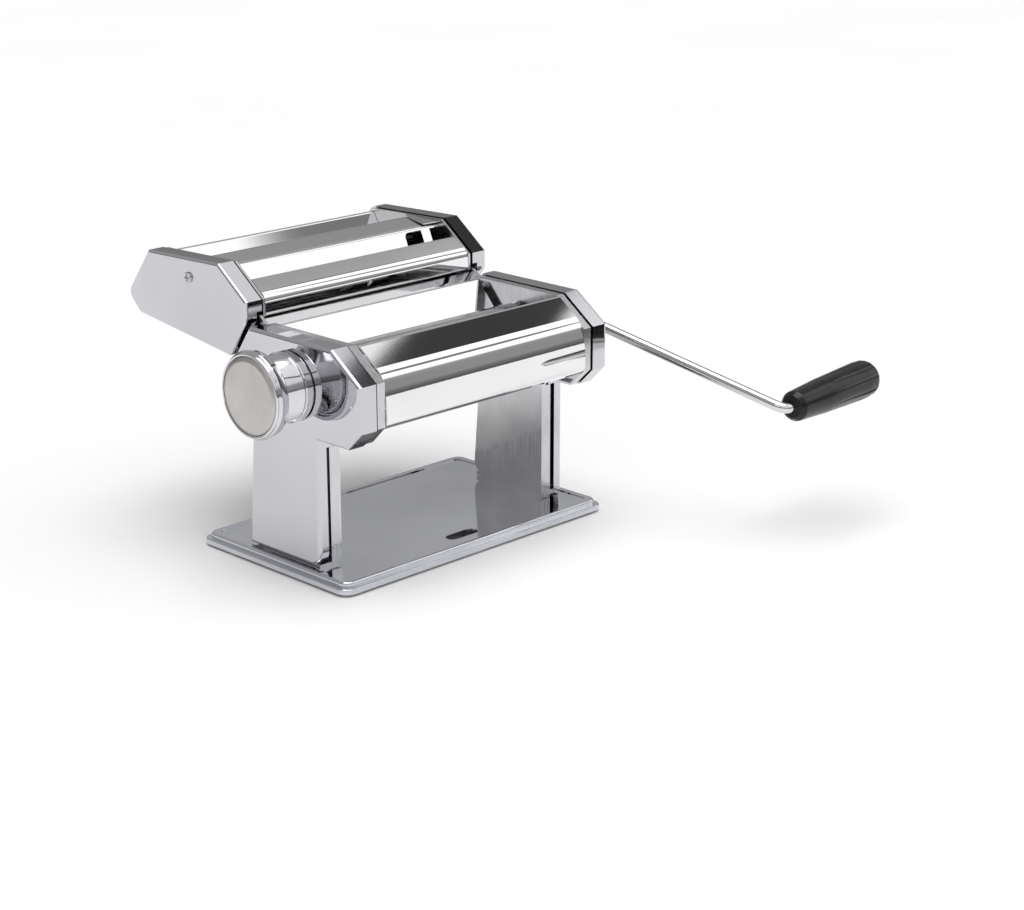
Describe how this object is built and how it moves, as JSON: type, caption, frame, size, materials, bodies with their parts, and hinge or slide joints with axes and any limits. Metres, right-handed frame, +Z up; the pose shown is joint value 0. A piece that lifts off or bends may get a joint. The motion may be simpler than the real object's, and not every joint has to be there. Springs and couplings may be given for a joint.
{
  "type": "pasta roller machine",
  "caption": "Hand-cranked steel pasta roller on a flat base, with a thickness dial, a side crank and a lift-off cutter head with a wide and a narrow cutting pair.",
  "frame": {"origin": "on the table plane, under the middle of the base", "axes": "+X along the rollers towards the crank, -Y the front where the sheet comes out, +Z up"},
  "size_m": [0.3415, 0.3014, 0.1603],
  "materials": {
    "mirror_chrome": "mirror polished, light handling marks",
    "base_chrome": "mirror polished pressed sheet",
    "plate_steel": "bright plated sheet",
    "satin_knob_face": "fine satin",
    "crank_chrome": "bright plated rod",
    "black_plastic": "semi-gloss moulded",
    "black_rubber": "matt",
    "roller_steel": "fine turned and polished",
    "gear_steel": "sintered, oiled",
    "zinc_steel": "bright zinc plated",
    "spring_steel": "drawn wire",
    "bearing_plastic": "natural acetal"
  },
  "bodies": {
    "frame": {"base_tray": "base_chrome", "rubber_feet": "black_rubber", "base_screws": "zinc_steel", "left_side_plate": "plate_steel", "right_side_plate": "plate_steel", "left_side_cover": "mirror_chrome", "right_side_cover": "mirror_chrome", "index_collar": "mirror_chrome", "front_panel": "mirror_chrome", "rear_panel": "mirror_chrome", "tie_rods": "zinc_steel", "tie_rod_nuts": "zinc_steel", "front_roller_bushes": "bearing_plastic", "dial_axle_bush": "bearing_plastic", "gear_bearing_plate": "plate_steel", "bearing_standoffs": "zinc_steel", "bearing_screws": "zinc_steel", "front_scraper": "bearing_plastic", "rear_scraper": "bearing_plastic", "cutter_rails": "plate_steel"},
    "dial_axle": {"eccentric_axle": "zinc_steel", "knob_retaining_screw": "zinc_steel", "knob_spring": "spring_steel"},
    "knob": {"regulator_knob": "mirror_chrome", "knob_cap": "satin_knob_face", "index_pin": "zinc_steel"},
    "roller_carriage": {"rear_roller_bushes": "bearing_plastic"},
    "rear_roller": {"rear_roller": "roller_steel", "rear_roller_ends": "roller_steel", "rear_roller_gear": "gear_steel"},
    "front_roller": {"front_roller": "roller_steel", "front_roller_ends": "roller_steel", "front_roller_gear": "gear_steel"},
    "crank": {"crank_rod": "crank_chrome", "handle_retainer": "zinc_steel"},
    "handle": {"handle_grip": "black_plastic", "handle_end_plug": "black_plastic"},
    "cutter_head": {"cutter_left_plate": "plate_steel", "cutter_right_plate": "plate_steel", "cutter_left_cap": "mirror_chrome", "cutter_right_cap": "mirror_chrome", "cutter_cap_screws": "zinc_steel", "cutter_tie_rods": "zinc_steel", "cutter_guide_studs": "zinc_steel", "cutter_front_panel": "mirror_chrome", "cutter_centre_cover": "mirror_chrome", "cutter_end_shelf": "plate_steel", "cutter_rear_panel": "mirror_chrome", "cutter_bushes": "bearing_plastic", "wide_cutter_combs": "bearing_plastic", "narrow_cutter_combs": "bearing_plastic"},
    "wide_driven_roller": {"wide_cutter_driven": "roller_steel", "wide_driven_gear": "gear_steel"},
    "wide_idle_roller": {"wide_cutter_idle": "roller_steel", "wide_idle_gear": "gear_steel"},
    "narrow_driven_roller": {"narrow_cutter_driven": "roller_steel", "narrow_driven_gear": "gear_steel"},
    "narrow_idle_roller": {"narrow_cutter_idle": "roller_steel", "narrow_idle_gear": "gear_steel"}
  },
  "joints": [
    {"name": "dial_turn", "type": "hinge", "parent": "frame", "child": "dial_axle", "pos_m": [0, -0.013, 0.1055], "axis": [1, 0, 0], "range_deg": [0, 135]},
    {"name": "knob_pull", "type": "slide", "parent": "dial_axle", "child": "knob", "axis": [-1, 0, 0], "range_m": [0, 0.005], "stiffness_N_per_m": 400, "springref_m": -0.004, "deforming": ["knob_spring"]},
    {"name": "carriage_hold", "type": "hinge", "parent": "dial_axle", "child": "roller_carriage", "pos_m": [0, -0.0118, 0.106], "axis": [1, 0, 0], "range_deg": [-135, 0]},
    {"name": "rear_roller_spin", "type": "hinge", "parent": "roller_carriage", "child": "rear_roller", "pos_m": [0, -0.0118, 0.106], "axis": [1, 0, 0], "continuous": true},
    {"name": "crank_turn", "type": "hinge", "parent": "frame", "child": "front_roller", "pos_m": [0, -0.0427, 0.1063], "axis": [1, 0, 0], "continuous": true},
    {"name": "crank_pull", "type": "slide", "parent": "front_roller", "child": "crank", "axis": [1, 0, 0], "range_m": [0, 0.03]},
    {"name": "handle_spin", "type": "hinge", "parent": "crank", "child": "handle", "pos_m": [0.1356, -0.163, 0.075], "axis": [0.9982, 0.058, 0.0151], "continuous": true},
    {"name": "cutter_lift", "type": "slide", "parent": "frame", "child": "cutter_head", "axis": [0, -0.5736, 0.8192], "range_m": [0, 0.045]},
    {"name": "wide_cutter_turn", "type": "hinge", "parent": "cutter_head", "child": "wide_driven_roller", "pos_m": [0, 0.0415, 0.1342], "axis": [1, 0, 0], "continuous": true},
    {"name": "wide_cutter_counter_turn", "type": "hinge", "parent": "cutter_head", "child": "wide_idle_roller", "pos_m": [0, 0.0635, 0.1342], "axis": [1, 0, 0], "continuous": true},
    {"name": "narrow_cutter_turn", "type": "hinge", "parent": "cutter_head", "child": "narrow_driven_roller", "pos_m": [0, 0.0881, 0.1342], "axis": [1, 0, 0], "continuous": true},
    {"name": "narrow_cutter_counter_turn", "type": "hinge", "parent": "cutter_head", "child": "narrow_idle_roller", "pos_m": [0, 0.1101, 0.1342], "axis": [1, 0, 0], "continuous": true}
  ],
  "couplings": [
    {"joint": "carriage_hold", "follows": "dial_turn", "ratio": -1},
    {"joint": "rear_roller_spin", "follows": "crank_turn", "ratio": -1},
    {"joint": "wide_cutter_counter_turn", "follows": "wide_cutter_turn", "ratio": -1},
    {"joint": "narrow_cutter_counter_turn", "follows": "narrow_cutter_turn", "ratio": -1}
  ]
}
